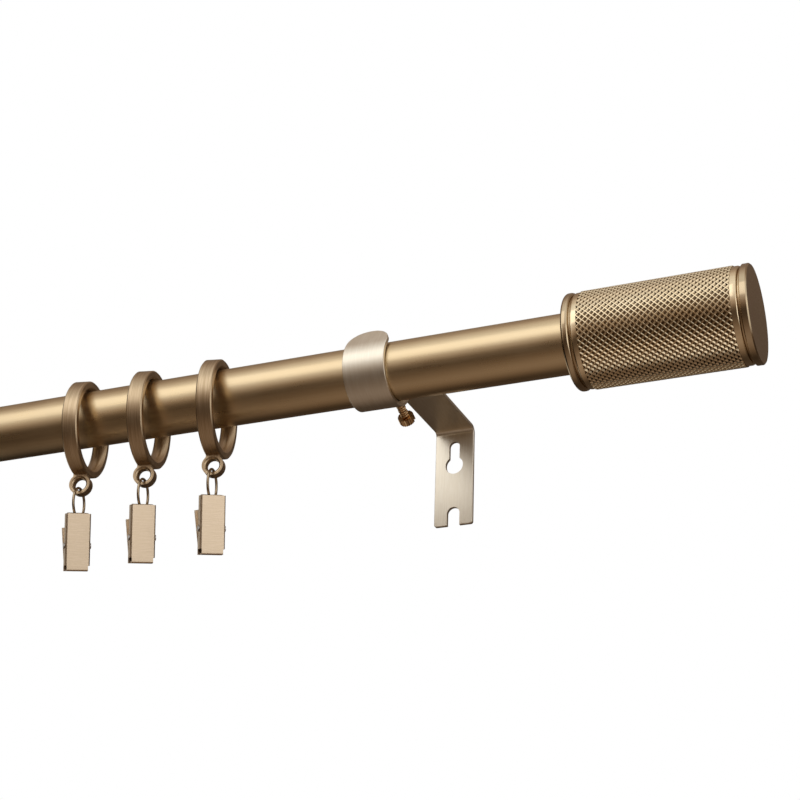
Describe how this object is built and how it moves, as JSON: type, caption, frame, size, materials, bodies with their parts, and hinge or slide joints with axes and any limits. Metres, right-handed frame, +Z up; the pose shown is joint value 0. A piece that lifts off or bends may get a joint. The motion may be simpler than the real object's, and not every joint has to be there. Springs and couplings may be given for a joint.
{
  "type": "extendable curtain rod",
  "caption": "Telescoping curtain rod with knurled cylinder finials, folded wall brackets with keyholes and lock screws, and clip rings that slide on the tube.",
  "frame": {"origin": "on the wall, at the centre of the right bracket's keyhole", "axes": "+X along the rod to the right finial, +Y into the wall, +Z up"},
  "size_m": [0.86, 0.115, 0.0918],
  "materials": {
    "rod_metal": "satin antique brass plating on steel tube",
    "finial_metal": "satin antique brass, turned",
    "knurled_metal": "satin antique brass, diamond knurl",
    "bracket_metal": "satin pale champagne plating",
    "ring_metal": "brushed antique bronze plating",
    "link_metal": "darkened brass wire",
    "clip_metal": "brushed pale champagne plating",
    "screw_brass": "bright brass",
    "stud_steel": "plain steel",
    "plug_plastic": "moulded plastic"
  },
  "bodies": {
    "rod": {"outer_tube": "rod_metal", "right_flange_cap": "finial_metal", "right_knurled_sleeve": "knurled_metal", "right_end_cap": "finial_metal", "right_finial_stud": "stud_steel", "right_tube_plug": "plug_plastic", "right_bracket": "bracket_metal"},
    "inner_rod": {"inner_tube": "rod_metal", "guide_bush": "plug_plastic", "left_flange_cap": "finial_metal", "left_knurled_sleeve": "knurled_metal", "left_end_cap": "finial_metal", "left_finial_stud": "stud_steel", "left_tube_plug": "plug_plastic", "left_bracket": "bracket_metal"},
    "right_screw": {"right_lock_screw": "screw_brass"},
    "left_screw": {"left_lock_screw": "screw_brass"},
    "ring_1": {"ring_1": "ring_metal"},
    "link_1": {"link_1": "link_metal"},
    "clip_1": {"clip_body_1": "clip_metal", "clip_pin_1": "stud_steel", "clip_spring_1": "stud_steel"},
    "lever_1": {"clip_lever_1": "clip_metal"},
    "ring_2": {"ring_2": "ring_metal"},
    "link_2": {"link_2": "link_metal"},
    "clip_2": {"clip_body_2": "clip_metal", "clip_pin_2": "stud_steel", "clip_spring_2": "stud_steel"},
    "lever_2": {"clip_lever_2": "clip_metal"},
    "ring_3": {"ring_3": "ring_metal"},
    "link_3": {"link_3": "link_metal"},
    "clip_3": {"clip_body_3": "clip_metal", "clip_pin_3": "stud_steel", "clip_spring_3": "stud_steel"},
    "lever_3": {"clip_lever_3": "clip_metal"}
  },
  "joints": [
    {"name": "inner_rod_slide", "type": "slide", "parent": "rod", "child": "inner_rod", "axis": [-1, 0, 0], "range_m": [0, 0.508]},
    {"name": "right_screw_slide", "type": "slide", "parent": "rod", "child": "right_screw", "axis": [0, 0.9272, -0.3746], "range_m": [0, 0.0025]},
    {"name": "left_screw_slide", "type": "slide", "parent": "inner_rod", "child": "left_screw", "axis": [0, 0.9272, -0.3746], "range_m": [0, 0.0025]},
    {"name": "ring_1_slide", "type": "slide", "parent": "rod", "child": "ring_1", "axis": [1, 0, 0], "range_m": [-0.008, 0.05]},
    {"name": "link_1_swing", "type": "hinge", "parent": "ring_1", "child": "link_1", "pos_m": [-0.0769, -0.09125, -0.02885], "axis": [-0.2317, 0.9728, 0], "range_deg": [-20, 20]},
    {"name": "clip_1_swing", "type": "hinge", "parent": "link_1", "child": "clip_1", "pos_m": [-0.0769, -0.09125, -0.04245], "axis": [-0.2317, 0.9728, 0], "range_deg": [-20, 20]},
    {"name": "lever_1_press", "type": "hinge", "parent": "clip_1", "child": "lever_1", "pos_m": [-0.07677, -0.08876, -0.05506], "axis": [0.7163, 0.6831, 0.1421], "range_deg": [0, 20], "stiffness_Nm_per_rad": 0.01, "springref_deg": -22.92, "deforming": ["clip_spring_1"]},
    {"name": "ring_2_slide", "type": "slide", "parent": "rod", "child": "ring_2", "axis": [1, 0, 0], "range_m": [-0.008, 0.008]},
    {"name": "link_2_swing", "type": "hinge", "parent": "ring_2", "child": "link_2", "pos_m": [-0.1115, -0.09125, -0.02885], "axis": [-0.2317, 0.9728, 0], "range_deg": [-20, 20]},
    {"name": "clip_2_swing", "type": "hinge", "parent": "link_2", "child": "clip_2", "pos_m": [-0.1115, -0.09125, -0.04245], "axis": [-0.2317, 0.9728, 0], "range_deg": [-20, 20]},
    {"name": "lever_2_press", "type": "hinge", "parent": "clip_2", "child": "lever_2", "pos_m": [-0.11137, -0.08876, -0.05506], "axis": [0.7163, 0.6831, 0.1421], "range_deg": [0, 20], "stiffness_Nm_per_rad": 0.01, "springref_deg": -22.92, "deforming": ["clip_spring_2"]},
    {"name": "ring_3_slide", "type": "slide", "parent": "rod", "child": "ring_3", "axis": [1, 0, 0], "range_m": [-0.4, 0.008]},
    {"name": "link_3_swing", "type": "hinge", "parent": "ring_3", "child": "link_3", "pos_m": [-0.1448, -0.09125, -0.02885], "axis": [-0.2317, 0.9728, 0], "range_deg": [-20, 20]},
    {"name": "clip_3_swing", "type": "hinge", "parent": "link_3", "child": "clip_3", "pos_m": [-0.1448, -0.09125, -0.04245], "axis": [-0.2317, 0.9728, 0], "range_deg": [-20, 20]},
    {"name": "lever_3_press", "type": "hinge", "parent": "clip_3", "child": "lever_3", "pos_m": [-0.14467, -0.08876, -0.05506], "axis": [0.7163, 0.6831, 0.1421], "range_deg": [0, 20], "stiffness_Nm_per_rad": 0.01, "springref_deg": -22.92, "deforming": ["clip_spring_3"]}
  ]
}
